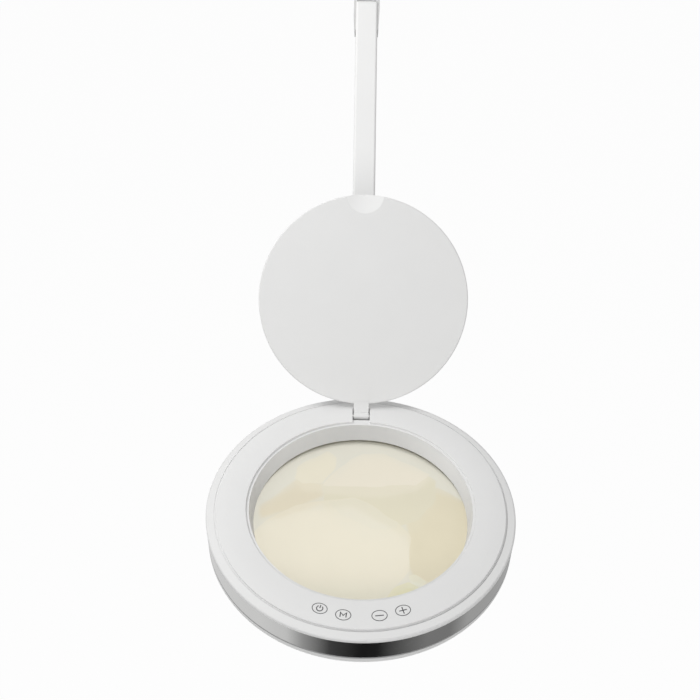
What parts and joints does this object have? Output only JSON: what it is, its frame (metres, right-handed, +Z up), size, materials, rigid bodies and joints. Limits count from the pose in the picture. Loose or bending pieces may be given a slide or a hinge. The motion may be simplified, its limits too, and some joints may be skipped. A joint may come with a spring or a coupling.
{
  "type": "magnifying treatment lamp",
  "caption": "Magnifying treatment lamp with a round lit head, a flip-up lens cover, touch controls, a tilting and turning neck, a folding square arm and a clamp for a table edge.",
  "frame": {"origin": "middle of the rubber face under the clamp's upper jaw, where it rests on the table top", "axes": "+Z up, the head hovers over the table towards -Y, +X to the right of somebody who faces the lamp"},
  "size_m": [0.24, 0.6137, 0.6208],
  "materials": {
    "shell_white": "smooth glossy moulding",
    "mirror_chrome": "mirror bright",
    "lens_glass": "polished",
    "gasket_rubber": "dull",
    "fitting_plastic": "fine matt",
    "zinc_steel": "zinc plated",
    "board_white": "satin solder mask",
    "board_green": "satin solder mask",
    "led_phosphor": "clear resin over phosphor",
    "milky_diffuser": "frosted",
    "arm_white": "white powder coat",
    "nylon": "dull",
    "knob_grey": "fine matt",
    "lead_black": "dull",
    "inlet_black": "fine matt",
    "pad_rubber": "dull"
  },
  "bodies": {
    "table_clamp": {"clamp_frame": "arm_white", "jaw_pad": "pad_rubber", "swivel_bush": "nylon"},
    "clamp_foot": {"pressure_plate": "zinc_steel", "foot_pad": "pad_rubber"},
    "clamp_screw": {"clamp_screw": "zinc_steel", "clamp_knob": "knob_grey"},
    "pin_lock": {"pin_lock_screw": "zinc_steel", "pin_lock_knob": "knob_grey"},
    "base_swivel": {"spigot_pin": "zinc_steel", "base_fork": "arm_white", "base_bolt": "zinc_steel"},
    "base_knob": {"base_knob": "knob_grey"},
    "lower_arm": {"lower_arm_tube": "arm_white", "base_eye": "arm_white", "elbow_eye": "arm_white", "lower_arm_lead": "lead_black", "base_washers": "nylon", "elbow_washers": "nylon", "dc_inlet": "inlet_black"},
    "upper_arm": {"upper_arm_tube": "arm_white", "upper_end_plug": "fitting_plastic", "upper_arm_lead": "lead_black", "elbow_cheek_left": "arm_white", "elbow_cheek_right": "arm_white", "cheek_screws": "zinc_steel", "elbow_bolt": "zinc_steel", "neck_eye": "arm_white", "neck_washers": "nylon"},
    "elbow_knob": {"elbow_knob": "knob_grey"},
    "neck": {"tilt_fork": "arm_white", "tilt_bolt": "zinc_steel", "neck_spindle": "zinc_steel", "spindle_nut": "zinc_steel", "spindle_washer": "zinc_steel"},
    "tilt_knob": {"tilt_knob": "knob_grey"},
    "head": {"top_shell": "shell_white", "chrome_band": "mirror_chrome", "bottom_shell": "shell_white", "lens": "lens_glass", "lens_gasket": "gasket_rubber", "lens_retainer": "fitting_plastic", "retainer_screws": "zinc_steel", "led_board": "board_white", "leds": "led_phosphor", "diffuser": "milky_diffuser", "touch_board": "board_green", "driver_board": "board_green", "shell_screws": "zinc_steel", "cover_hinge_pin": "zinc_steel", "neck_boss": "arm_white", "boss_screws": "zinc_steel"},
    "cover": {"lens_cover": "shell_white"}
  },
  "joints": [
    {"name": "base_swivel", "type": "hinge", "parent": "table_clamp", "child": "base_swivel", "pos_m": [0, 0.037, 0.02], "axis": [0, 0, 1], "continuous": true},
    {"name": "base_tilt", "type": "hinge", "parent": "base_swivel", "child": "lower_arm", "pos_m": [0, 0.037, 0.062], "axis": [1, 0, 0], "range_deg": [-60, 50]},
    {"name": "elbow", "type": "hinge", "parent": "lower_arm", "child": "upper_arm", "pos_m": [0, 0.037, 0.462], "axis": [1, 0, 0], "range_deg": [-115, 9]},
    {"name": "head_tilt", "type": "hinge", "parent": "upper_arm", "child": "neck", "pos_m": [0, -0.2692, 0.21405], "axis": [1, 0, 0], "range_deg": [-20, 85]},
    {"name": "head_roll", "type": "hinge", "parent": "neck", "child": "head", "pos_m": [0, -0.2922, 0.21405], "axis": [0, 1, 0], "range_deg": [-90, 90]},
    {"name": "cover_flip", "type": "hinge", "parent": "head", "child": "cover", "pos_m": [0, -0.3249, 0.22615], "axis": [1, 0, 0], "range_deg": [0, 125]},
    {"name": "screw_turn", "type": "hinge", "parent": "clamp_foot", "child": "clamp_screw", "pos_m": [0, 0, -0.06], "axis": [0, 0, 1], "range_deg": [-1445, 7205]},
    {"name": "foot_travel", "type": "slide", "parent": "table_clamp", "child": "clamp_foot", "axis": [0, 0, 1], "range_m": [-0.008, 0.04]},
    {"name": "base_knob_turn", "type": "hinge", "parent": "base_swivel", "child": "base_knob", "pos_m": [0.01545, 0.037, 0.062], "axis": [1, 0, 0], "range_deg": [-360, 0]},
    {"name": "elbow_knob_turn", "type": "hinge", "parent": "upper_arm", "child": "elbow_knob", "pos_m": [0.01245, 0.037, 0.462], "axis": [1, 0, 0], "range_deg": [-360, 0]},
    {"name": "tilt_knob_turn", "type": "hinge", "parent": "neck", "child": "tilt_knob", "pos_m": [0.01545, -0.2692, 0.21405], "axis": [1, 0, 0], "range_deg": [-360, 0]},
    {"name": "pin_lock_turn", "type": "hinge", "parent": "table_clamp", "child": "pin_lock", "pos_m": [0, 0.06, -0.006], "axis": [0, 1, 0], "range_deg": [-360, 0]}
  ],
  "couplings": [
    {"joint": "screw_turn", "follows": "foot_travel", "rad_per_m": 3141.6}
  ]
}
